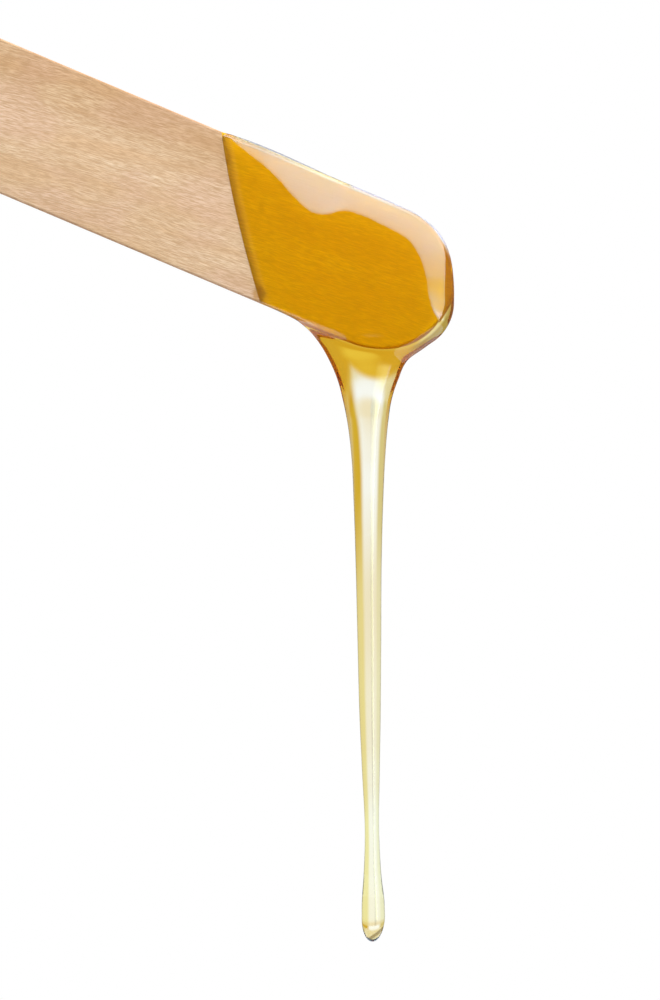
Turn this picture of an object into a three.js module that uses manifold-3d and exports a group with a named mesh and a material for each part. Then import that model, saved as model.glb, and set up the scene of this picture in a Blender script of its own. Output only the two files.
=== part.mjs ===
// A wooden waxing spatula whose blade has been dipped in warm honey wax. The wax coats the blade,
// gathers into a funnel under its lower rim and runs off in one long strand that ends in a drop.
//
// Millimetres, +Z up, +X to the right. The broad front face of the stick looks towards -Y and lies
// in the plane y = 0. The origin is on that face, where finger and thumb hold the handle. The blade
// points to the right and down by the tilt, and the strand hangs straight down.

import * as THREE from 'three';
import { mergeVertices } from 'three/addons/utils/BufferGeometryUtils.js';
import Module from 'manifold-3d';

const wasm = await Module();
wasm.setup();

// ---- the stick ----
const stickLength = 150;
const stickWidth = 18;
const stickThickness = 1.6;
const edgeBreak = 0.15; // the tumbled edge between the broad faces and the rim
const tilt = THREE.MathUtils.degToRad(22.9); // how far the blade points below the level
const gripFromEnd = 30; // from the tip of the handle to the middle of the grip
const faceStep = 12; // spacing of the cross rows on the straight part of the faces
const endSteps = 10; // steps round each quarter of the round ends

// ---- the coat of wax on the blade ----
const coatUpperReach = 35.2; // coated length along the upper edge, from the blade's tip
const coatLowerReach = 21.8; // coated length along the lower edge, from the blade's tip
const coatBow = 0.5; // how far the dip line bows towards the handle
const filmThickness = 1; // wax on each broad face
const beadStart = 0.3; // wax standing out from the rim, where the coat begins
const beadShoulder = 0.45; // the same where the upper edge meets the round end
const beadNose = 0.65; // the same at the tip
const beadHeel = 1.75; // the same at its fattest, below the tip
const beadSill = 1.0; // the same over the funnel
const beadClearance = 0.1; // between the bead and the wood's rim
const beadSteps = 44;

// ---- the wax that runs off ----
const runOffset = -1.45; // the strand's line, sideways from the centre of the blade's round end
const funnelHalfWidth = 6; // at the level of the blade's lowest point
const funnelHalfDepth = 2.25; // front to back, at the same level
const funnelDecay = 4.3; // height over which the funnel's flare falls off
const funnelRise = 3.6; // how far the funnel climbs the rim above its lowest point
const funnelTopHalfDepth = 1.5;
const funnelMouth = 8.8; // the funnel's greatest half width, where it runs up the rim
const funnelLean = 1.4; // how far its top shifts towards the handle
const throatBelowRim = 11.7; // from the blade's lowest point to the funnel's flat underside
const funnelClearance = 0.2; // between the funnel and the coat above it
const strandTopRadius = 2.0;
const strandMiddleRadius = 1.45;
const strandNeckRadius = 0.95;
const strandLength = 53.6; // from the swing axis to the drop
const swingGap = 0.3; // between the funnel's underside and the strand's round head
const dropRadius = 1.6;
const dropLength = 6.8;
const dropGap = 0.3; // between the strand and its drop
const roundSides = 24;

// ---- worked out from the above ----
const endRadius = stickWidth / 2;
const bladeCentre = stickLength - endRadius - gripFromEnd; // of the round end, along the stick
const handleCentre = endRadius - gripFromEnd;
const upperRun = coatUpperReach - endRadius; // straight part of the coated rim, upper edge
const lowerRun = coatLowerReach - endRadius;
const arcRun = Math.PI * endRadius;
const rimRun = upperRun + arcRun + lowerRun;
const midThickness = stickThickness / 2;
const funnelUnderside = -endRadius - throatBelowRim;
const swingHeight = funnelUnderside - swingGap - strandTopRadius;
const strandFoot = -strandLength;
const dropTop = strandFoot - dropGap;

const birch = new THREE.MeshStandardMaterial({ color: 0xdab894, roughness: 0.75, metalness: 0 });
const wax = new THREE.MeshStandardMaterial({ color: 0xd89506, roughness: 0.12, metalness: 0 });
const thinWax = new THREE.MeshStandardMaterial({ color: 0xeadc96, roughness: 0.08, metalness: 0 });

// A closed geometry as a manifold-3d solid, and a solid back as a geometry.
function toSolid(geometry) {
  const bare = geometry.clone();
  bare.deleteAttribute('normal');
  bare.deleteAttribute('uv');
  const merged = mergeVertices(bare, 1e-4);
  return new wasm.Manifold(new wasm.Mesh({
    numProp: 3,
    vertProperties: Float32Array.from(merged.attributes.position.array),
    triVerts: Uint32Array.from(merged.index.array),
  }));
}

function toGeometry(solid) {
  const mesh = solid.getMesh();
  const geometry = new THREE.BufferGeometry();
  geometry.setAttribute('position', new THREE.BufferAttribute(mesh.vertProperties, 3));
  geometry.setIndex(new THREE.BufferAttribute(mesh.triVerts, 1));
  geometry.computeVertexNormals();
  return geometry;
}

// The stations of the stick from handle to blade: where each lies along the stick and how wide the
// outline is there, for an outline drawn in from the rim by the given inset.
function stickStations(inset) {
  const radius = endRadius - inset;
  const arc = [];
  for (let i = 0; i < endSteps; i += 1) {
    const angle = ((i + 0.5) / endSteps) * (Math.PI / 2);
    arc.push([radius * Math.cos(angle), radius * Math.sin(angle)]);
  }
  const rows = Math.ceil((bladeCentre - handleCentre) / faceStep);
  const stations = arc.map(([along, half]) => [handleCentre - along, half]);
  for (let i = 0; i <= rows; i += 1) {
    stations.push([THREE.MathUtils.lerp(handleCentre, bladeCentre, i / rows), radius]);
  }
  arc.reverse();
  arc.forEach(([along, half]) => stations.push([bladeCentre + along, half]));
  return stations;
}

// The stick is a box of unit size whose rows are moved to the stations. It has four levels through
// its thickness, and the two outer ones are drawn in by the edge break.
function spatulaGeometry() {
  const full = stickStations(0);
  const drawnIn = stickStations(edgeBreak);
  const count = full.length - 1;
  const levels = [0, edgeBreak, stickThickness - edgeBreak, stickThickness];
  const geometry = new THREE.BoxGeometry(1, 1, 1, count, levels.length - 1, 1);
  const position = geometry.attributes.position;
  for (let i = 0; i < position.count; i += 1) {
    const row = Math.round((position.getX(i) + 0.5) * count);
    const level = Math.round((position.getY(i) + 0.5) * (levels.length - 1));
    const outer = level === 0 || level === levels.length - 1;
    const [along, half] = (outer ? drawnIn : full)[row];
    position.setXYZ(i, along, levels[level], position.getZ(i) * 2 * half);
  }
  geometry.computeVertexNormals();
  return geometry;
}

// A point of the coated rim, in the plane of the blade: run is the distance along the rim from the
// upper end of the coat, round the tip and back, and outward is how far off the wood it lies.
function rimPoint(run, outward) {
  const reach = endRadius + outward;
  if (run < upperRun) {
    return new THREE.Vector2(bladeCentre - upperRun + run, reach);
  }
  if (run < upperRun + arcRun) {
    const angle = Math.PI / 2 - (run - upperRun) / endRadius;
    return new THREE.Vector2(bladeCentre + reach * Math.cos(angle), reach * Math.sin(angle));
  }
  return new THREE.Vector2(bladeCentre - (run - upperRun - arcRun), -reach);
}

// How far the bead of wax stands out from the rim, rising and falling smoothly between its named
// sizes. The places on the round end are angles from the stick's own centre line.
function beadOutward(run) {
  const atAngle = (degrees) => upperRun + endRadius * THREE.MathUtils.degToRad(90 - degrees);
  const places = [
    [0, beadStart],
    [upperRun, beadShoulder],
    [atAngle(5), beadNose],
    [atAngle(-26), beadHeel],
    [atAngle(-70), beadSill],
    [rimRun, beadStart],
  ];
  const next = Math.max(1, places.findIndex(([place]) => place >= run));
  const [from, low] = places[next - 1];
  const [to, high] = places[next];
  return THREE.MathUtils.lerp(low, high, THREE.MathUtils.smoothstep(run, from, to));
}

function rimLine(outwardAt) {
  const points = [];
  for (let i = 0; i <= beadSteps; i += 1) {
    const run = (rimRun * i) / beadSteps;
    points.push(rimPoint(run, outwardAt(run)));
  }
  return points;
}

// An outline in the plane of the blade, as a plate between two depths.
function plate(outline, front, back) {
  const geometry = new THREE.ExtrudeGeometry(new THREE.Shape(outline), {
    depth: back - front,
    bevelEnabled: false,
  });
  geometry.rotateX(Math.PI / 2);
  geometry.translate(0, back, 0);
  return geometry;
}

// The wax on a broad face: the outline of the blade from the dip line to the tip.
function filmGeometry(front, back) {
  const outline = rimLine(() => 0);
  const upper = outline[0];
  const lower = outline[outline.length - 1];
  const bow = upper.clone().add(lower).multiplyScalar(0.5);
  bow.x -= 2 * coatBow;
  const dipLine = new THREE.QuadraticBezierCurve(lower, bow, upper).getPoints(8);
  return plate(outline.concat(dipLine.slice(1, -1)), front, back);
}

// The bead round the rim joins the wax of the two faces, so it is as deep as stick and films.
function beadGeometry() {
  const inner = rimLine(() => beadClearance);
  const outer = rimLine((run) => beadClearance + beadOutward(run));
  return plate(outer.concat(inner.reverse()), -filmThickness, stickThickness + filmThickness);
}

// The funnel is a tapering oval column. It is measured from the centre of the blade's round end,
// and the coated blade with its clearance is cut out of its top.
function funnelGeometry(coatMatrix) {
  const top = -endRadius + funnelRise;
  const height = top - funnelUnderside;
  const column = new THREE.CylinderGeometry(1, 1, height, roundSides, 14);
  column.rotateX(Math.PI / 2);
  column.translate(0, 0, (top + funnelUnderside) / 2);
  const position = column.attributes.position;
  for (let i = 0; i < position.count; i += 1) {
    const z = position.getZ(i);
    const fade = Math.exp((z + endRadius) / funnelDecay);
    const flare = strandTopRadius + (funnelHalfWidth - strandTopRadius) * fade;
    const halfWidth = Math.min(flare, funnelMouth);
    const bulge = strandTopRadius + (funnelHalfDepth - strandTopRadius) * fade;
    const climb = THREE.MathUtils.smoothstep(z, -endRadius, top);
    const halfDepth = THREE.MathUtils.lerp(Math.min(bulge, funnelHalfDepth), funnelTopHalfDepth, climb);
    position.setX(i, runOffset - funnelLean * climb + position.getX(i) * halfWidth);
    position.setY(i, position.getY(i) * halfDepth);
  }
  const around = rimLine((run) => beadClearance + beadOutward(run) + funnelClearance);
  const reach = funnelHalfWidth + stickWidth;
  around.push(new THREE.Vector2(bladeCentre - upperRun - reach, -endRadius - funnelClearance));
  around.push(new THREE.Vector2(bladeCentre - upperRun - reach, endRadius));
  const blade = plate(around, -stickWidth, stickWidth).applyMatrix4(coatMatrix);
  return toGeometry(toSolid(column).subtract(toSolid(blade)));
}

// The strand hangs from a round head whose centre is the swing axis, so that it turns under the
// funnel without touching it. It thins towards the drop.
function strandGeometry() {
  const profile = [new THREE.Vector2(0, strandFoot)];
  const taper = new THREE.SplineCurve([
    new THREE.Vector2(strandNeckRadius * 1.15, strandFoot),
    new THREE.Vector2(strandNeckRadius, strandFoot * 0.9),
    new THREE.Vector2((strandNeckRadius + strandMiddleRadius) / 2, strandFoot * 0.7),
    new THREE.Vector2(strandMiddleRadius, strandFoot * 0.4),
    new THREE.Vector2((strandMiddleRadius + strandTopRadius) / 2, strandFoot * 0.12),
    new THREE.Vector2(strandTopRadius, 0),
  ]);
  profile.push(...taper.getPoints(18));
  const head = 6;
  for (let i = 1; i < head; i += 1) {
    const angle = (i / head) * (Math.PI / 2);
    profile.push(new THREE.Vector2(strandTopRadius * Math.cos(angle), strandTopRadius * Math.sin(angle)));
  }
  profile.push(new THREE.Vector2(0, strandTopRadius));
  return new THREE.LatheGeometry(profile, roundSides).rotateX(Math.PI / 2);
}

function dropGeometry() {
  const bottom = dropTop - dropLength;
  const belly = bottom + dropRadius;
  const profile = [];
  const round = 6;
  for (let i = 0; i <= round; i += 1) {
    const angle = (i / round - 1) * (Math.PI / 2);
    profile.push(new THREE.Vector2(dropRadius * Math.cos(angle), belly + dropRadius * Math.sin(angle)));
  }
  profile[0].x = 0;
  const shoulder = new THREE.SplineCurve([
    new THREE.Vector2(dropRadius, belly),
    new THREE.Vector2(dropRadius * 0.94, belly + dropRadius * 0.9),
    new THREE.Vector2(strandNeckRadius * 1.15, dropTop),
  ]);
  profile.push(...shoulder.getPoints(6).slice(1), new THREE.Vector2(0, dropTop));
  return new THREE.LatheGeometry(profile, roundSides).rotateX(Math.PI / 2);
}

function named(name, geometry, material) {
  const mesh = new THREE.Mesh(geometry, material);
  mesh.name = name;
  return mesh;
}

const spatula = new THREE.Group();

// The stick and its coat lie along the tilted centre line.
const blade = new THREE.Group();
blade.rotation.y = tilt;
const waxBack = stickThickness + filmThickness;
blade.add(named('wooden_spatula', spatulaGeometry(), birch));
blade.add(named('wax_front_film', filmGeometry(-filmThickness, 0), wax));
blade.add(named('wax_back_film', filmGeometry(stickThickness, waxBack), wax));
blade.add(named('wax_edge_bead', beadGeometry(), wax));
spatula.add(blade);

// What runs off hangs plumb, below the centre of the blade's round end.
const runOff = new THREE.Group();
runOff.position.set(bladeCentre * Math.cos(tilt), midThickness, -bladeCentre * Math.sin(tilt));
const fromBlade = new THREE.Matrix4().makeRotationY(tilt);
const toRunOff = new THREE.Matrix4().makeTranslation(runOff.position).invert().multiply(fromBlade);
runOff.add(named('wax_funnel', funnelGeometry(toRunOff), wax));

const hanging = new THREE.Group();
hanging.position.set(runOffset, 0, swingHeight);
hanging.add(named('wax_strand', strandGeometry(), thinWax));
hanging.add(named('wax_drop', dropGeometry(), thinWax));
runOff.add(hanging);
spatula.add(runOff);

export default spatula;
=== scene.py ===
"""Looks for a wooden waxing spatula whose blade is coated in warm honey wax.

The stick is bare birch. The wax is one clear body: it wraps the blade, gathers in a funnel under the
lower rim and runs off in a strand that ends in a drop. Its surface is worked out as a level set of a
few smooth functions and meshed.

Lengths named with MM are in millimetres. Blender's own units are metres.
"""

import math

import bpy
import numpy as np
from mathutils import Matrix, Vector


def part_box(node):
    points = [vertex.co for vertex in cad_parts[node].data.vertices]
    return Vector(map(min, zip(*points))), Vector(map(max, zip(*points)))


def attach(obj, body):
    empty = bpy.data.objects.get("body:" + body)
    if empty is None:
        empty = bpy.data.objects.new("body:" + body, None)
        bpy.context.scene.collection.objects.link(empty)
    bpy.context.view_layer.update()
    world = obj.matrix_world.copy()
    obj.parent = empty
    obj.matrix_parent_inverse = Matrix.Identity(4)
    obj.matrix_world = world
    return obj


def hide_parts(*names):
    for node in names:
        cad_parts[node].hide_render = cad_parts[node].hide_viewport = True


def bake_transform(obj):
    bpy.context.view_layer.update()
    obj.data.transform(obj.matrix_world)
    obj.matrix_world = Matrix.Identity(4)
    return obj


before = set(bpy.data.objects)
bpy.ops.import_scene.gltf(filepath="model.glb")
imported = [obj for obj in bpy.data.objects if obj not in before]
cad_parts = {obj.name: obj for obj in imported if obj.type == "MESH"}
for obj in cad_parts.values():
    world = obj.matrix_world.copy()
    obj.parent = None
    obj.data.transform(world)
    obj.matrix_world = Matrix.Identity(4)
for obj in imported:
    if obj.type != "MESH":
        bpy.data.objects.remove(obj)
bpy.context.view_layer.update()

# ---- the stick ----
METRES = 0.001  # one millimetre
END_RADIUS_MM = 9.0
EDGE_ROUND_MM = 0.28
ARC_STEPS = 40
SIDE_STEPS = 60
EDGE_STEPS = 5

STAIN_MM = (-15.4, -0.8, -2.2)  # a brown stain at the lower end of the dip line, from the blade's centre
GRAIN_TURN = math.radians(6)  # how much less steep the grain runs than the stick's edges

# ---- the coat, in the blade's own axes: s along the stick from the centre of the round end, t across ----
DIP_MIDDLE_MM = -19.2  # s of the dip line on the stick's centre line
DIP_SLANT = -0.72  # how much s changes for each millimetre of t
DIP_BOW_MM = 0.55
DIP_EDGE_MM = 1.4  # width of the rounded front of the coat
DIP_THIN = 0.35  # share of the film's full thickness just behind that front
DIP_SWELL_MM = 5.0  # distance over which the film grows to its full thickness
FILM_MM = 1.15  # wax on the flat of each face
BAND_SLOPE = 0.17  # fall of the surface where it starts down towards the rim
BAND_CURVE = 0.008  # how much steeper it gets for each millimetre further out
BAND_CREASE_MM = 0.22
DROP_DARK_LINE_SLOPE = 0.73  # slope of the painted shade line across the end of the drop
DROP_DARK_LINE_HEIGHT_MM = -82.48
CUT_MM = 0.45  # how far the wax body reaches into the wood behind the dip line
THINNEST_MM = 0.3  # half thickness of the wax body where it is only a guide outside the coat

# Stations run along the rim in millimetres, 0 where the upper edge meets the round end.
BAND_WIDTH = [
    (-28.0, 0.8),
    (-25.5, 0.9),
    (-21.2, 1.4),
    (-17.2, 2.6),
    (-13.4, 4.35),
    (-11.4, 5.0),
    (-9.6, 4.65),
    (-7.7, 3.35),
    (-5.2, 2.95),
    (-1.7, 3.1),
    (1.8, 3.32),
    (5.7, 3.6),
    (10.5, 3.4),
    (14.5, 2.25),
    (15.6, 1.35),
    (16.6, -0.4),
    (18.0, -1.5),
    (50.0, -1.5),
]
RIM_BEAD = [
    (-27.0, 0.3),
    (-18.0, 0.42),
    (-10.0, 0.22),
    (-3.0, 0.2),
    (1.5, 0.12),
    (5.7, 0.2),
    (9.0, 0.12),
    (10.5, 0.17),
    (12.0, 0.38),
    (13.2, 0.68),
    (14.5, 1.12),
    (15.8, 1.42),
    (17.3, 1.58),
    (19.5, 1.45),
    (26.0, 0.8),
    (33.0, 0.2),
    (50.0, 0.04),
]
RIM_ROUND = [
    (-27.0, 0.38),
    (3.0, 0.38),
    (7.3, 0.6),
    (10.5, 1.2),
    (12.5, 1.0),
    (14.7, 0.35),
    (16.2, 0.1),
    (18.5, 0.9),
    (28.0, 0.9),
    (33.0, 0.4),
    (50.0, 0.3),
]

# ---- the run-off, below the centre of the blade's round end: (height, left side, right side) ----
RUN_SIDES = [
    (2.0, -12.0, 5.0),
    (-2.0, -11.8, 6.0),
    (-5.5, -10.3, 6.4),
    (-7.3, -8.6, 6.2),
    (-8.8, -7.5, 5.3),
    (-10.4, -6.6, 3.5),
    (-13.1, -5.45, 2.15),
    (-15.6, -4.8, 1.35),
    (-18.2, -4.27, 0.95),
    (-23.0, -3.7, 0.54),
    (-28.2, -3.45, 0.3),
    (-35.8, -3.2, 0.1),
    (-46.0, -2.95, 0.04),
    (-56.0, -2.68, -0.04),
    (-62.0, -2.4, -0.14),
    (-71.0, -2.02, -0.2),
    (-76.0, -2.2, 0.1),
    (-79.0, -2.4, 0.45),
    (-81.0, -2.42, 0.52),
]
RUN_DEPTH = [
    (2.0, 0.4),
    (-5.5, 1.0),
    (-7.0, 1.5),
    (-8.3, 1.82),
    (-9.6, 1.88),
    (-11.5, 1.82),
    (-13.2, 1.74),
    (-15.0, 1.72),
    (-18.0, 1.86),
    (-23.0, 1.9),
    (-28.0, 1.78),
    (-35.8, 1.62),
    (-46.0, 1.48),
    (-56.0, 1.32),
    (-62.0, 1.12),
    (-71.0, 0.92),
    (-76.0, 1.15),
    (-79.0, 1.42),
    (-81.0, 1.47),
]
DROP_END_MM = (-80.9, 3.1)  # height where the drop starts to close, and length of its end
DROP_SKEW = 0.18  # how much lower the end hangs for each millimetre to the left
JOIN_MM = 0.8  # reach of the smooth join between coat and run-off
GRID_MM = 0.16

# ---- studio light: degrees, each pair the range over which one part gives way to the next ----
# off_axis is the angle from the side that the front faces, bearing the angle round it from the right
# to overhead. aside and height are the angles sideways and up from straight behind the object.
DARK_FRONT = (12, 17)  # off_axis: the softbox leaves a dark hole in the middle
SOFTBOX_TURN = (4, 36)  # bearing over which the softbox's reach grows
SOFTBOX_REACH = (40, 94)  # off_axis that it reaches to, at the two ends of that turn
SOFTBOX_EDGE = (-5, 5)
SOFTBOX_START = (-24, -14)  # bearing
SOFTBOX_END = (112, 132)  # bearing
REAR_START = (95, 108)  # off_axis
REAR_END = (116, 132)  # off_axis
PANEL_LEFT = (-34, -18)  # aside
PANEL_RIGHT = (10, 26)  # aside
PANEL_BOTTOM = (-50, -35)  # height
PANEL_TOP = (20, 40)  # height
SEAM_ASIDE = -7  # middle of the panel's dimmer seam
LEVEL = (-1.5, 2.5)  # height where the lower colours give way to the upper ones
RAISED = (3.5, 7.5)  # height

# ---- camera, floor ----
FRAME_CENTRE_MM = (-6.43, -28.2)  # from the centre of the blade's round end
FRAME_HEIGHT_MM = 126.1
LENS = 100.0
SENSOR = 36.0
FLOOR_DROP = 0.4
FLOOR_RADIUS = 0.7

wood_low, wood_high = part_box("wooden_spatula")
HALF_THICKNESS_MM = (wood_high.y - wood_low.y) / 2 / METRES
END_RADIUS = END_RADIUS_MM * METRES
MIDDLE_Y = (wood_low.y + wood_high.y) / 2
BLADE = Vector((wood_high.x - END_RADIUS, MIDDLE_Y, wood_low.z + END_RADIUS))
HANDLE = Vector((wood_low.x + END_RADIUS, MIDDLE_Y, wood_high.z - END_RADIUS))
ALONG = (BLADE - HANDLE).normalized()
ACROSS = Vector((-ALONG.z, 0.0, ALONG.x))
STRAIGHT_MM = (BLADE - HANDLE).length / METRES
TILT = math.atan2(-ALONG.z, ALONG.x)


def curve_through(points):
    """A smooth function through (place, value) points, level beyond the two ends."""
    places, values = (np.array(column, float) for column in zip(*sorted(points)))
    slopes = np.gradient(values, places)

    def value_at(place):
        place = np.clip(place, places[0], places[-1])
        i = np.clip(np.searchsorted(places, place) - 1, 0, len(places) - 2)
        span = places[i + 1] - places[i]
        u = (place - places[i]) / span
        rise = u * u * (3 - 2 * u)
        bend = span * (slopes[i] * u * (1 - u) ** 2 - slopes[i + 1] * u * u * (1 - u))
        return values[i] + (values[i + 1] - values[i]) * rise + bend

    return value_at


band_width = curve_through(BAND_WIDTH)
rim_bead = curve_through(RIM_BEAD)
rim_round = curve_through(RIM_ROUND)
run_left = curve_through([(z, left) for z, left, right in RUN_SIDES])
run_right = curve_through([(z, right) for z, left, right in RUN_SIDES])
run_depth = curve_through(RUN_DEPTH)


def soft_positive(value, softness):
    """value where it is positive and 0 where it is negative, with the corner softened."""
    return 0.5 * (value + np.sqrt(value * value + softness * softness))


def smooth_union(a, b, reach):
    mix = np.clip(0.5 + 0.5 * (b - a) / reach, 0, 1)
    return b + (a - b) * mix - reach * mix * (1 - mix)


def rim_coordinates(s, t):
    """The rim station of each point, and how far inside the wood's outline it lies."""
    radius = np.hypot(s, t)
    angle = np.arctan2(t, s)
    straight = s <= 0
    turn = END_RADIUS_MM * math.pi
    station = np.where(straight, np.where(t >= 0, s, turn - s), END_RADIUS_MM * (math.pi / 2 - angle))
    depth = END_RADIUS_MM - np.where(straight, np.abs(t), radius)
    return station, depth


def behind_dip_line(s, t):
    """How far each point lies on the coated side of the dip line."""
    bow = DIP_BOW_MM * (1 - (t / END_RADIUS_MM) ** 2)
    return (s - (DIP_MIDDLE_MM + DIP_SLANT * t - bow)) / math.hypot(1, DIP_SLANT)


def coat_field(x, y, z):
    """Negative inside the wax that wraps the blade."""
    s = x * ALONG.x + z * ALONG.z
    t = x * ACROSS.x + z * ACROSS.z
    station, depth = rim_coordinates(s, t)
    behind = behind_dip_line(s, t)
    front = np.clip((behind + 0.04) / DIP_EDGE_MM, 0, 1)
    swell = np.clip(behind / DIP_SWELL_MM, 0, 1)
    cover = front * (2 - front) * (DIP_THIN + (1 - DIP_THIN) * swell * (2 - swell))
    sink = np.clip(behind, -CUT_MM, 0)
    fall = soft_positive(band_width(station) - depth, BAND_CREASE_MM)
    fall = (BAND_SLOPE * fall + BAND_CURVE * fall * fall) * np.clip(cover / DIP_THIN, 0, 1)
    bead = rim_bead(station)
    half = np.maximum(HALF_THICKNESS_MM + FILM_MM * cover - fall + sink, THINNEST_MM)
    inward = depth + bead * cover + sink
    rounding = bead + rim_round(station)
    corner = np.clip(1 - inward / rounding, 0, None)
    across = np.abs(y) / half
    body = (np.sqrt(corner ** 2 + across ** 2) - 1) * np.minimum(half, rounding)
    return np.maximum(body, -(behind + CUT_MM))


def run_field(x, y, z):
    """Negative inside the funnel, the strand and the drop."""
    left, right = run_left(z), run_right(z)
    half_width = (right - left) / 2
    half_depth = run_depth(z)
    offset = x - (left + right) / 2
    start, length = DROP_END_MM
    below = np.clip(start + DROP_SKEW * offset - z, 0, None) / length
    radius = np.sqrt((offset / half_width) ** 2 + (y / half_depth) ** 2 + below ** 2)
    slope = np.sqrt((offset / half_width ** 2) ** 2 + (y / half_depth ** 2) ** 2 + (below / length) ** 2)
    column = radius * (radius - 1) / np.maximum(slope, 0.02)
    return np.maximum(column, z - RUN_SIDES[0][0])


def wax_field(x, y, z):
    return smooth_union(coat_field(x, y, z), run_field(x, y, z), JOIN_MM)


def level_set(field, low, counts, step):
    """Points and quads of the surface where field is 0, one point in each grid cell that it crosses."""
    axes = [low[i] + step * np.arange(counts[i]) for i in range(3)]
    gx, gy, gz = np.meshgrid(*axes, indexing="ij", sparse=True)
    value = field(gx, gy, gz).astype(np.float32)
    inside = value < 0
    cells = np.array(counts) - 1
    total = np.zeros((cells.prod(), 3))
    hits = np.zeros(cells.prod())
    quads = []
    for axis in range(3):
        first = [slice(None)] * 3
        second = [slice(None)] * 3
        first[axis], second[axis] = slice(None, -1), slice(1, None)
        a, b = value[tuple(first)], value[tuple(second)]
        crossing = np.argwhere((a < 0) != (b < 0))
        ia = tuple(crossing.T)
        point = crossing.astype(float)
        point[:, axis] += a[ia] / (a[ia] - b[ia])
        u, v = (axis + 1) % 3, (axis + 2) % 3
        corners = []
        for du, dv in ((0, 0), (-1, 0), (-1, -1), (0, -1)):
            cell = crossing.copy()
            cell[:, u] += du
            cell[:, v] += dv
            index = np.ravel_multi_index(tuple(cell.T), cells)
            np.add.at(total, index, point)
            np.add.at(hits, index, 1)
            corners.append(index)
        ring = np.stack(corners, 1)
        outward = inside[tuple(first)][ia]
        quads.append(np.where(outward[:, None], ring, ring[:, ::-1]))
    used = np.flatnonzero(hits)
    number = np.full(len(hits), -1)
    number[used] = np.arange(len(used))
    points = np.array(low) + step * total[used] / hits[used, None]
    return points, number[np.concatenate(quads)]


def settle_on(field, points, rounds):
    """Moves each point along the field's slope until it lies on the surface itself."""
    reach = 0.02
    for _ in range(rounds):
        value = field(*points.T)
        slope = np.stack(
            [
                (field(*(points + step).T) - field(*(points - step).T)) / (2 * reach)
                for step in np.eye(3) * reach
            ],
            1,
        )
        move = -slope * (value / np.maximum((slope ** 2).sum(1), 0.05))[:, None]
        size = np.linalg.norm(move, axis=1, keepdims=True)
        points = points + move * np.minimum(1, 0.6 * GRID_MM / np.maximum(size, 1e-9))
    return points


def mesh_object(name, points, faces):
    mesh = bpy.data.meshes.new(name)
    mesh.from_pydata([tuple(p) for p in points], [], [tuple(int(i) for i in f) for f in faces])
    mesh.polygons.foreach_set("use_smooth", [True] * len(mesh.polygons))
    mesh.validate()
    mesh.update()
    piece = bpy.data.objects.new(name, mesh)
    bpy.context.scene.collection.objects.link(piece)
    return piece


def build_wax():
    low = (-29.0, -3.6, -84.6)
    high = (12.0, 3.6, 19.6)
    counts = [int(round((high[i] - low[i]) / GRID_MM)) + 1 for i in range(3)]
    points, quads = level_set(wax_field, low, counts, GRID_MM)
    points = settle_on(wax_field, points, 3)
    wax = mesh_object("honey_wax_body", points * METRES + np.array(BLADE), quads)
    hanging = wax.data.attributes.new("hanging_place", "FLOAT_VECTOR", "POINT")
    hanging.data.foreach_set("vector", points.ravel())
    return wax


def stick_rows(inset):
    """(s, half width) from the handle's tip to the blade's tip, for an outline drawn in by inset."""
    radius = END_RADIUS_MM - inset
    angles = (np.arange(ARC_STEPS) + 0.5) / ARC_STEPS * math.pi / 2
    arc = [(radius * math.cos(a), radius * math.sin(a)) for a in angles]
    rows = [(-STRAIGHT_MM - s, half) for s, half in arc]
    rows += [(s, radius) for s in np.linspace(-STRAIGHT_MM, 0, SIDE_STEPS + 1)]
    rows += reversed(arc)
    return rows


def build_stick():
    """The punched stick, with its broad faces rolling over into the rim."""
    levels = []
    for side in (-1, 1):
        for k in range(EDGE_STEPS + 1):
            turn = (k if side < 0 else EDGE_STEPS - k) / EDGE_STEPS * math.pi / 2
            inset = EDGE_ROUND_MM * (1 - math.sin(turn))
            y = side * (HALF_THICKNESS_MM - EDGE_ROUND_MM * (1 - math.cos(turn)))
            levels.append((inset, y))
    points, rings = [], []
    for inset, y in levels:
        rows = stick_rows(inset)
        upper = [(s, y, half) for s, half in rows]
        lower = [(s, y, -half) for s, half in reversed(rows)]
        rings.append(list(range(len(points), len(points) + 2 * len(rows))))
        points += upper + lower
    count = len(rings[0])
    faces = []
    for near, far in zip(rings, rings[1:]):
        for i in range(count):
            j = (i + 1) % count
            faces.append((near[i], near[j], far[j], far[i]))
    for ring, front in ((rings[0], True), (rings[-1], False)):
        for i in range(count // 2 - 1):
            face = (ring[i], ring[count - 1 - i], ring[count - 2 - i], ring[i + 1])
            faces.append(face if front else face[::-1])
    s, y, t = (np.array(points) * METRES).T
    placed = s[:, None] * np.array(ALONG) + t[:, None] * np.array(ACROSS) + np.array(BLADE)
    placed[:, 1] += y
    return mesh_object("birch_stick", placed, faces)


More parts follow.
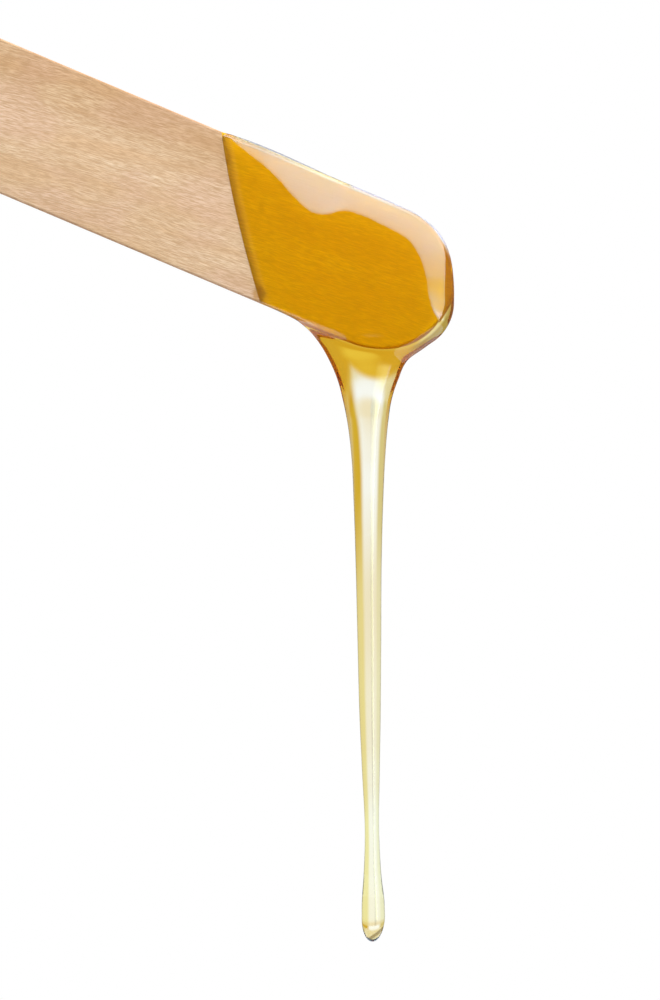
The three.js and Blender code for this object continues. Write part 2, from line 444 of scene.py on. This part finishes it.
# ---- materials ----
class Nodes:
    """Short calls for adding shader nodes to one node tree."""

    def __init__(self, tree):
        self.tree = tree
        tree.nodes.clear()

    def add(self, kind, **settings):
        node = self.tree.nodes.new("ShaderNode" + kind)
        for name, value in settings.items():
            setattr(node, name, value)
        return node

    def link(self, source, target):
        self.tree.links.new(source, target)
        return target.node

    def feed(self, socket, value):
        if isinstance(value, bpy.types.NodeSocket):
            self.tree.links.new(value, socket)
        elif value is not None:
            socket.default_value = value

    def math(self, operation, a, b=None, c=None):
        node = self.add("Math", operation=operation)
        for socket, value in zip(node.inputs, (a, b, c)):
            self.feed(socket, value)
        return node.outputs[0]

    def ramp(self, value, low, high, to_low=0.0, to_high=1.0):
        node = self.add("MapRange", interpolation_type="SMOOTHSTEP")
        for socket, number in zip(node.inputs, (value, low, high, to_low, to_high)):
            self.feed(socket, number)
        return node.outputs[0]

    def fade(self, angle, limits, to_low=0.0, to_high=1.0):
        """A ramp over a range of angles that is given in degrees."""
        return self.ramp(angle, rad(limits[0]), rad(limits[1]), to_low, to_high)

    def noise(self, vector, scale, detail=2.0, rough=0.5):
        node = self.add("TexNoise")
        self.feed(node.inputs["Vector"], self.scaled(vector, scale))
        node.inputs["Scale"].default_value = 1.0
        node.inputs["Detail"].default_value = detail
        node.inputs["Roughness"].default_value = rough
        return node.outputs["Fac"]

    def from_blade(self):
        """Millimetres from the centre of the blade's round end."""
        offset = self.add("VectorMath", operation="SUBTRACT")
        self.feed(offset.inputs[0], self.add("TexCoord").outputs["Object"])
        offset.inputs[1].default_value = BLADE
        return self.scaled(offset.outputs[0], (1000, 1000, 1000))

    def rim_radius(self, s, t):
        """Distance from the blade's centre line, or from the centre of its round end beyond that."""
        past = self.math("MAXIMUM", s, 0.0)
        return self.math("SQRT", self.math("MULTIPLY_ADD", past, past, self.math("MULTIPLY", t, t)))

    def distance(self, vector, point):
        node = self.add("VectorMath", operation="DISTANCE")
        self.feed(node.inputs[0], vector)
        node.inputs[1].default_value = point
        return node.outputs["Value"]

    def turned(self, vector, angle):
        node = self.add("VectorRotate", rotation_type="Y_AXIS")
        self.feed(node.inputs["Vector"], vector)
        node.inputs["Angle"].default_value = angle
        return node.outputs[0]

    def scaled(self, vector, scale):
        node = self.add("VectorMath", operation="MULTIPLY")
        self.feed(node.inputs[0], vector)
        node.inputs[1].default_value = scale
        return node.outputs[0]

    def product(self, first, *others):
        for other in others:
            first = self.math("MULTIPLY", first, other)
        return first

    def grey(self, value):
        node = self.add("CombineColor")
        for socket in node.inputs:
            self.feed(socket, value)
        return node.outputs[0]

    def mix(self, factor, a, b, blend="MIX"):
        node = self.add("Mix", data_type="RGBA", blend_type=blend)
        self.feed(node.inputs["Factor"], factor)
        self.feed(node.inputs[6], a)
        self.feed(node.inputs[7], b)
        return node.outputs[2]


def rad(degrees):
    return math.radians(degrees)


def srgb(red, green, blue):
    """A colour given in 8-bit screen values, as the linear values that shaders use."""
    channels = [c / 255 for c in (red, green, blue)]
    linear = [c / 12.92 if c <= 0.04045 else ((c + 0.055) / 1.055) ** 2.4 for c in channels]
    return (*linear, 1.0)


def new_material(name):
    material = bpy.data.materials.new(name)
    material.use_nodes = True
    return material, Nodes(material.node_tree)


def birch_material():
    material, n = new_material("bare_birch")
    mm = n.from_blade()
    grain = n.turned(mm, GRAIN_TURN - TILT)
    wander = n.noise(grain, (0.05, 0.2, 0.12), 2.0)
    lift = n.add("CombineXYZ")
    n.feed(lift.inputs["Z"], n.math("MULTIPLY_ADD", wander, 2.4, -1.2))
    bent = n.add("VectorMath", operation="ADD")
    n.feed(bent.inputs[0], grain)
    n.feed(bent.inputs[1], lift.outputs[0])
    grain = bent.outputs[0]

    broad = n.noise(grain, (0.03, 0.5, 0.4), 3.0, 0.55)
    blotch = n.noise(grain, (0.11, 0.3, 0.2), 2.0)
    streaks = n.noise(grain, (0.22, 2.0, 3.4), 3.0, 0.6)
    fibres = n.noise(grain, (0.8, 6.0, 8.5), 2.0, 0.6)

    colour = n.mix(n.ramp(broad, 0.35, 0.65), srgb(218, 180, 141), srgb(229, 199, 166))
    colour = n.mix(n.ramp(blotch, 0.42, 0.66, 0.0, 0.55), colour, srgb(222, 184, 162))
    colour = n.mix(n.ramp(streaks, 0.3, 0.7, 0.36, 0.0), colour, srgb(184, 144, 104))
    colour = n.mix(n.ramp(fibres, 0.3, 0.7, 0.85, 0.0), colour, srgb(186, 148, 110))

    split = n.add("SeparateXYZ")
    n.feed(split.inputs[0], n.turned(mm, -TILT))
    s, t = split.outputs["X"], split.outputs["Z"]
    slant = n.math("MULTIPLY_ADD", t, -DIP_SLANT, s)
    rim = n.math("POWER", n.math("DIVIDE", t, END_RADIUS_MM), 2.0)
    bow = n.math("MULTIPLY_ADD", rim, -DIP_BOW_MM, DIP_BOW_MM)
    behind = n.math("SUBTRACT", n.math("ADD", slant, bow), DIP_MIDDLE_MM)
    # painted shade: the bare wood is multiplied darker towards the stick's upper edge; the factor at the
    # lower edge is the wood's overall tone
    upper = n.mix(n.ramp(t, 0.5, 6.5), (0.72, 0.565, 0.48, 1.0), (0.61, 0.445, 0.335, 1.0))
    dry = n.mix(1.0, colour, upper, "MULTIPLY")
    soaked = n.mix(0.4, colour, srgb(216, 184, 148))
    # painted shade: a darker amber just behind the dip line, along the coat's front edge
    shaded_soak = n.mix(1.0, soaked, (0.78, 0.46, 0.001, 1.0), "MULTIPLY")
    soaked = n.mix(1.0, soaked, (1.13, 0.73, 0.0015, 1.0), "MULTIPLY")
    soaked = n.mix(n.ramp(behind, 0.1, 1.5), shaded_soak, soaked)
    radius = n.rim_radius(s, t)
    # painted highlight: the wood under the wax is paler and less red along the upper rim, for the bright
    # line there
    rim_painted_highlight = n.product(n.ramp(radius, 8.5, 8.95), n.ramp(t, 5.0, 7.5), n.ramp(behind, 0.8, 2.6))
    soaked = n.mix(rim_painted_highlight, soaked, (0.74, 0.67, 0.9, 1.0))
    colour = n.mix(n.ramp(behind, -0.05, 0.15), dry, soaked)
    stain = n.math("MULTIPLY_ADD", n.noise(mm, (0.9, 0.9, 0.9), 2.0), 1.6, n.distance(mm, STAIN_MM))
    colour = n.mix(n.ramp(stain, 1.1, 2.1, 0.6, 0.0), colour, srgb(150, 90, 18))

    bump = n.add("Bump")
    bump.inputs["Strength"].default_value = 0.25
    bump.inputs["Distance"].default_value = 0.00006
    n.feed(bump.inputs["Height"], n.math("ADD", streaks, n.math("MULTIPLY", fibres, 0.6)))

    shader = n.add("BsdfPrincipled")
    n.feed(shader.inputs["Base Color"], colour)
    shader.inputs["Roughness"].default_value = 0.62
    shader.inputs["Specular IOR Level"].default_value = 0.08
    n.feed(shader.inputs["Normal"], bump.outputs[0])
    n.link(shader.outputs[0], n.add("OutputMaterial").inputs["Surface"])
    return material


def wax_colour_and_painted_shade(n):
    """The wax's surface colour, by place on the body at rest: deeper where the wax is thick in the funnel,
    paler at the drop's end. Painted light: amber down the left edge of the funnel's neck. Painted shade:
    darker along the outlines of crest, nose and heel, and a dark line across the end of the drop."""
    place = n.add("Attribute", attribute_name="hanging_place").outputs["Vector"]
    blade = n.add("SeparateXYZ")
    n.feed(blade.inputs[0], n.turned(place, -TILT))
    across = blade.outputs["Z"]
    radius = n.rim_radius(blade.outputs["X"], across)
    level = n.add("SeparateXYZ")
    n.feed(level.inputs[0], place)
    x, y, z = level.outputs

    over_wood = n.ramp(radius, END_RADIUS_MM - 0.3, END_RADIUS_MM + 0.2, 1.0, 0.0)
    sideways = n.math("ADD", x, 0.5)
    arch = n.math("MULTIPLY", n.math("MULTIPLY", sideways, sideways), -0.16)
    pool = n.product(n.ramp(n.math("ADD", z, arch), -13.5, -12.3), n.ramp(across, 1.0, -1.5, 0.0, 1.0))
    # painted light: amber down the left edge of the funnel's neck, for the amber that the neck refracts
    # from the coat above
    left_edge = n.product(n.ramp(x, -4.1, -3.3, 1.0, 0.0), n.ramp(z, -21.0, -14.0))
    # painted shade: a darker tan stripe down the wax along the nose's outline
    nose = n.product(n.ramp(x, 7.6, 8.3), n.ramp(z, -6.5, -4.5), n.ramp(z, 2.5, 5.0, 1.0, 0.0))
    # painted shade: a dark olive band on the outer wax along the heel's outline
    heel = n.product(n.ramp(radius, 9.5, 9.85), n.ramp(x, 3.0, 5.0), n.ramp(z, -13.0, -10.5))
    # painted shade: a grey line along the crest's outline
    crest = n.product(n.ramp(radius, 9.08, 9.2), n.ramp(across, 2.0, 4.0))
    tip = n.ramp(z, DROP_END_MM[0] - 0.9, DROP_END_MM[0], 1.0, 0.0)
    # painted shade: a dark line across the end of the drop, for the dark that its curved end refracts
    along = n.math("MULTIPLY_ADD", x, -DROP_DARK_LINE_SLOPE, z)
    away = n.math("ABSOLUTE", n.math("SUBTRACT", along, DROP_DARK_LINE_HEIGHT_MM))
    drop_painted_dark_line = n.product(n.ramp(away, 0.14, 0.4, 1.0, 0.0), n.ramp(y, -0.1, 0.1, 1.0, 0.0))

    colour = (1.0, 1.0, 1.0, 1.0)
    for patch, tint in (
        (n.math("MAXIMUM", pool, left_edge), (0.86, 0.56, 0.05, 1.0)),
        (over_wood, (1.0, 0.95, 0.45, 1.0)),
        (nose, (0.62, 0.46, 0.22, 1.0)),
        (heel, (0.36, 0.26, 0.07, 1.0)),
        (crest, (0.5, 0.5, 0.42, 1.0)),
        (tip, (1.0, 0.95, 0.8, 1.0)),
        (drop_painted_dark_line, (0.2, 0.14, 0.04, 1.0)),
    ):
        colour = n.mix(patch, colour, tint)
    return colour


def wax_material():
    material, n = new_material("honey_wax")
    shader = n.add("BsdfPrincipled")
    n.feed(shader.inputs["Base Color"], wax_colour_and_painted_shade(n))
    shader.inputs["Roughness"].default_value = 0.0
    shader.inputs["IOR"].default_value = 1.5
    shader.inputs["Transmission Weight"].default_value = 1.0
    volume = n.add("VolumeAbsorption")
    volume.inputs["Color"].default_value = (0.975, 0.90, 0.70, 1.0)
    volume.inputs["Density"].default_value = 400.0
    output = n.add("OutputMaterial")
    n.link(shader.outputs[0], output.inputs["Surface"])
    n.link(volume.outputs[0], output.inputs["Volume"])
    return material


def floor_material():
    material, n = new_material("pale_floor")
    shader = n.add("BsdfPrincipled")
    place = n.add("TexCoord").outputs["Object"]
    tone = n.noise(place, (6.0, 6.0, 6.0), 3.0)
    n.feed(shader.inputs["Base Color"], n.mix(tone, (0.48, 0.48, 0.47, 1.0), (0.52, 0.52, 0.51, 1.0)))
    shader.inputs["Roughness"].default_value = 0.8
    n.link(shader.outputs[0], n.add("OutputMaterial").inputs["Surface"])
    return material


# ---- stage ----
def build_floor():
    steps = 96
    points = [(0.0, 0.0, 0.0)]
    for i in range(steps):
        angle = 2 * math.pi * i / steps
        points.append((FLOOR_RADIUS * math.cos(angle), FLOOR_RADIUS * math.sin(angle), 0.0))
    faces = [(0, i + 1, (i + 1) % steps + 1) for i in range(steps)]
    floor = mesh_object("pale_floor", points, faces)
    floor.location = (BLADE.x, MIDDLE_Y, BLADE.z - FLOOR_DROP)
    floor.data.materials.append(floor_material())


def softbox_light(n, z, off_axis, bearing):
    """A large softbox in front, from the right to overhead, over a weak fill."""
    reach = n.fade(bearing, SOFTBOX_TURN, *map(rad, SOFTBOX_REACH))
    box = n.product(
        n.fade(off_axis, DARK_FRONT),
        n.fade(n.math("SUBTRACT", reach, off_axis), SOFTBOX_EDGE),
        n.fade(bearing, SOFTBOX_START),
        n.fade(bearing, SOFTBOX_END, 1.0, 0.0),
    )
    glow = n.fade(off_axis, (15, 31), 3.6, 9.0)
    glow = n.math("MULTIPLY", glow, n.fade(off_axis, (36, 60), 1.0, 0.5))
    fill = n.math("MULTIPLY", n.ramp(z, -0.8, 0.5, 0.08, 0.3), n.fade(off_axis, (22, 50), 0.04, 1.0))
    strength = n.math("MULTIPLY_ADD", box, glow, fill)
    tint = n.mix(n.fade(bearing, (6, 38)), (0.52, 0.6, 0.28, 1.0), (0.29, 0.76, 1.1, 1.0))
    tint = n.mix(n.fade(off_axis, (35, 44)), tint, (0.98, 1.15, 1.4, 1.0))
    boxed = n.mix(1.0, n.grey(strength), tint, "MULTIPLY")
    return n.mix(n.ramp(strength, 0.0, 1.0), n.grey(strength), boxed)


def rear_light(n, z, off_axis, matte):
    """A light overhead behind the object, and one that only matte surfaces receive."""
    overhead = n.product(
        n.fade(off_axis, REAR_START, 0.0, 2.5),
        n.fade(off_axis, REAR_END, 1.0, 0.0),
        n.ramp(z, 0.25, 0.6),
    )
    return n.math("MULTIPLY_ADD", n.fade(off_axis, (95, 140), 0.0, 0.7), matte, overhead)


def light_through_wax(n, x, y, z, off_axis):
    """What shows through the wax: a bright panel behind, with warm reflectors beside it."""
    aside = n.math("ARCTAN2", x, y)
    height = n.math("ARCSINE", z)
    panel = n.product(
        n.fade(aside, PANEL_LEFT),
        n.fade(aside, PANEL_RIGHT, 1.0, 0.0),
        n.fade(height, PANEL_BOTTOM),
        n.fade(height, PANEL_TOP, 1.0, 0.0),
    )
    low = n.fade(height, LEVEL, 1.0, 0.0)
    raised = n.fade(height, RAISED)
    from_right = n.ramp(x, -0.2, 0.2)
    level_side = n.mix(from_right, (0.72, 0.67, 0.32, 1.0), (0.68, 0.47, 0.02, 1.0))
    low_side = n.mix(from_right, (0.84, 0.84, 0.60, 1.0), (0.84, 0.77, 0.36, 1.0))
    raised_side = n.mix(from_right, (0.80, 0.70, 0.36, 1.0), (0.76, 0.52, 0.02, 1.0))
    side = n.mix(raised, n.mix(low, level_side, low_side), raised_side)
    dark = n.mix(low, (0.22, 0.18, 0.04, 1.0), (0.6, 0.58, 0.38, 1.0))
    side = n.mix(n.fade(off_axis, (92, 114)), dark, side)
    side = n.mix(raised, side, (0.8, 0.76, 0.46, 1.0))
    bright = n.mix(low, (1.02, 1.15, 1.4, 1.0), (0.93, 0.92, 0.81, 1.0))
    bright = n.mix(n.fade(height, (3, 9)), bright, (0.84, 0.79, 0.5, 1.0))
    light = n.mix(panel, side, bright)
    light = n.mix(n.fade(height, (-50, -25), 1.0, 0.0), light, (0.3, 0.3, 0.24, 1.0))
    light = n.mix(n.fade(off_axis, (60, 76), 1.0, 0.0), light, (0.72, 0.66, 0.43, 1.0))
    from_seam = n.math("ABSOLUTE", n.math("ADD", aside, rad(-SEAM_ASIDE)))
    seam = n.fade(from_seam, (1.5, 5.0), 0.8, 1.0)
    light = n.mix(low, light, n.mix(1.0, light, n.grey(seam), "MULTIPLY"))
    whiter = n.mix(1.0, light, (1.08, 1.17, 1.3, 1.0), "MULTIPLY")
    return n.mix(n.fade(height, (-5.5, -1.5)), whiter, light)


def build_world():
    """A white studio. The light that shows through the wax is set apart from the light that falls on
    the object, and the background itself is plain white."""
    world = bpy.data.worlds.new("studio")
    bpy.context.scene.world = world
    world.use_nodes = True
    n = Nodes(world.node_tree)
    split = n.add("SeparateXYZ")
    n.feed(split.inputs[0], n.add("TexCoord").outputs["Generated"])
    x, y, z = split.outputs
    off_axis = n.math("ARCCOSINE", n.math("MULTIPLY", y, -1.0))
    bearing = n.math("ARCTAN2", z, x)
    path = n.add("LightPath")
    matte = n.math("MINIMUM", path.outputs["Diffuse Depth"], 1.0)
    rear = rear_light(n, z, off_axis, matte)
    open_light = n.mix(1.0, softbox_light(n, z, off_axis, bearing), n.grey(rear), "ADD")
    through = n.math("SUBTRACT", path.outputs["Is Transmission Ray"], path.outputs["Diffuse Depth"])
    through = n.math("MAXIMUM", through, 0.0)

    studio = n.add("Background")
    n.feed(studio.inputs["Color"], n.mix(through, open_light, light_through_wax(n, x, y, z, off_axis)))
    plain = n.add("Background")
    plain.inputs["Color"].default_value = (1.0, 1.0, 1.0, 1.0)
    choose = n.add("MixShader")
    n.feed(choose.inputs[0], path.outputs["Is Camera Ray"])
    n.link(studio.outputs[0], choose.inputs[1])
    n.link(plain.outputs[0], choose.inputs[2])
    n.link(choose.outputs[0], n.add("OutputWorld").inputs["Surface"])


def build_camera():
    data = bpy.data.cameras.new("camera")
    data.lens = LENS
    data.sensor_width = SENSOR
    data.clip_start = 0.01
    camera = bpy.data.objects.new("camera", data)
    distance = FRAME_HEIGHT_MM * METRES * LENS / SENSOR
    across, up = (value * METRES for value in FRAME_CENTRE_MM)
    camera.location = (BLADE.x + across, wood_low.y - distance, BLADE.z + up)
    camera.rotation_euler = (math.pi / 2, 0.0, 0.0)
    bpy.context.scene.collection.objects.link(camera)
    bpy.context.scene.camera = camera


build_camera()
build_world()
build_floor()
bpy.context.scene.view_settings.view_transform = "Standard"

stick = build_stick()
stick.data.materials.append(birch_material())
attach(stick, "spatula")
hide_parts("wooden_spatula")

wax = build_wax()
wax.data.materials.append(wax_material())
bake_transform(wax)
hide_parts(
    "wax_front_film", "wax_back_film", "wax_edge_bead", "wax_funnel", "wax_strand", "wax_drop"
)
